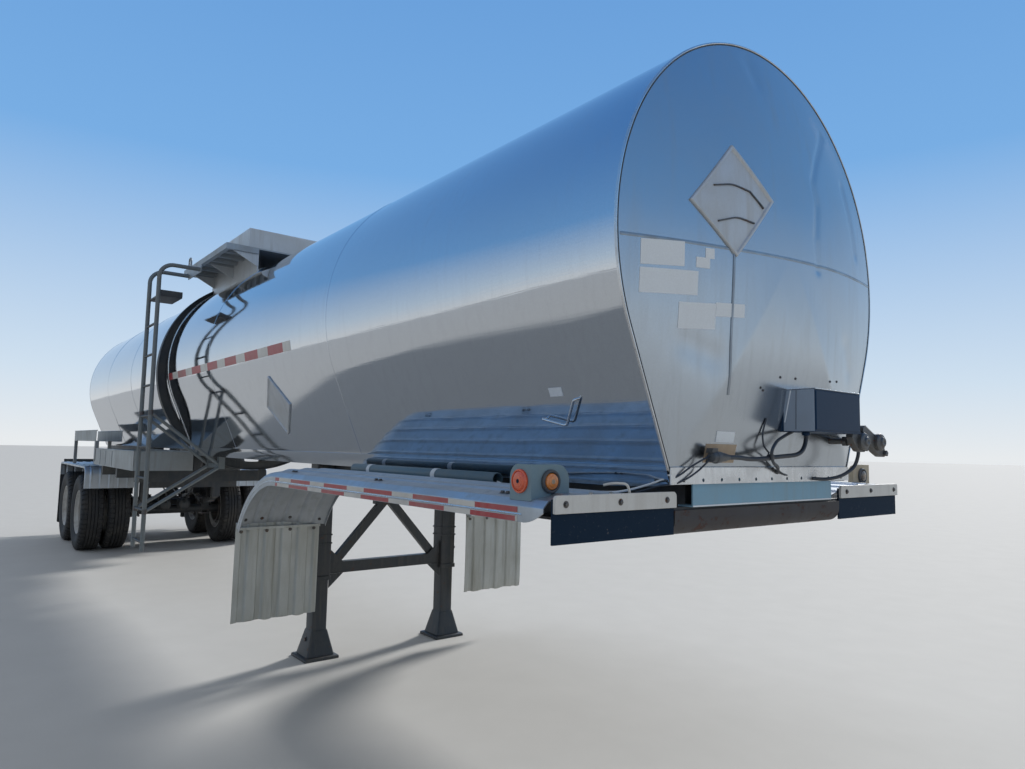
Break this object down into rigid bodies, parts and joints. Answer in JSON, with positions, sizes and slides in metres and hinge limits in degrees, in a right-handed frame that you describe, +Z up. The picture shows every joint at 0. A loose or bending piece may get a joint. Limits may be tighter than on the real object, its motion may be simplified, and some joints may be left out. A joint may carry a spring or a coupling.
{
  "type": "tanker semi-trailer",
  "caption": "Tanker semi-trailer: tank on a kingpin coupler, landing legs and twin-wheel rear axles, with side ladder, top deck and hinged manway lid.",
  "frame": {"origin": "middle of the overall length, on the centre line, at the ground", "axes": "+X forward to the coupler end, +Y to the left, +Z up"},
  "size_m": [12.25, 2.438, 3.54],
  "materials": {
    "polished": "polished",
    "bright": "satin",
    "dark_paint": "satin, dusty",
    "pale_blue": "matt, dusty",
    "rusty": "rusty",
    "fender": "mill finish",
    "white_paint": "satin",
    "grey_paint": "satin",
    "rubber": "matt",
    "tyre": "matt",
    "rim": "dusty white",
    "red_lens": "gloss",
    "amber_lens": "gloss",
    "black_plastic": "matt",
    "placard": "gloss, blank",
    "cable": "satin",
    "cast_steel": "satin"
  },
  "bodies": {
    "trailer": {"air_tanks": "dark_paint", "axle_front": "dark_paint", "axle_rear": "dark_paint", "bogie_frame": "dark_paint", "bolster": "pale_blue", "brake_chambers": "dark_paint", "cable_plug": "black_plastic", "connector_box": "black_plastic", "coupler_plate": "rusty", "deck": "grey_paint", "deck_supports": "white_paint", "fender_tails": "fender", "flap_bars": "white_paint", "front_cable": "cable", "front_fenders": "fender", "front_flaps": "rubber", "front_frame": "dark_paint", "front_head": "polished", "front_strip": "bright", "gladhands": "cast_steel", "kingpin": "cast_steel", "ladder_rails": "grey_paint", "ladder_rungs": "grey_paint", "ladder_struts": "grey_paint", "lamp_grommets": "black_plastic", "landing_legs": "dark_paint", "leaf_springs": "cast_steel", "leg_brace": "dark_paint", "manway_neck": "bright", "marker_brackets": "grey_paint", "marker_lamps": "amber_lens", "placards": "placard", "rear_bumper": "dark_paint", "rear_fenders": "fender", "rear_flaps": "rubber", "rear_head": "polished", "rear_outlet": "cast_steel", "side_pipe": "grey_paint", "side_tray": "grey_paint", "side_trough": "grey_paint", "spill_box": "bright", "tail_bar": "dark_paint", "tail_lamps": "red_lens", "tank_jacket": "polished", "tank_ring": "dark_paint", "top_vents": "bright", "tray_beams": "dark_paint"},
    "wheels_front_right": {"tyres_front_right": "tyre", "rims_front_right": "rim"},
    "wheels_front_left": {"tyres_front_left": "tyre", "rims_front_left": "rim"},
    "wheels_rear_right": {"tyres_rear_right": "tyre", "rims_rear_right": "rim"},
    "wheels_rear_left": {"tyres_rear_left": "tyre", "rims_rear_left": "rim"},
    "manway_lid": {"manway_lid": "bright"}
  },
  "joints": [
    {"name": "wheels_front_right_spin", "type": "hinge", "parent": "trailer", "child": "wheels_front_right", "pos_m": [-3.955, -0.917, 0.515], "axis": [0, 1, 0], "continuous": true},
    {"name": "wheels_front_left_spin", "type": "hinge", "parent": "trailer", "child": "wheels_front_left", "pos_m": [-3.955, 0.917, 0.515], "axis": [0, 1, 0], "continuous": true},
    {"name": "wheels_rear_right_spin", "type": "hinge", "parent": "trailer", "child": "wheels_rear_right", "pos_m": [-5.195, -0.917, 0.515], "axis": [0, 1, 0], "continuous": true},
    {"name": "wheels_rear_left_spin", "type": "hinge", "parent": "trailer", "child": "wheels_rear_left", "pos_m": [-5.195, 0.917, 0.515], "axis": [0, 1, 0], "continuous": true},
    {"name": "manway_lid_hinge", "type": "hinge", "parent": "trailer", "child": "manway_lid", "pos_m": [-0.1, 0, 3.4643], "axis": [0, -1, 0], "range_deg": [0, 105]}
  ]
}
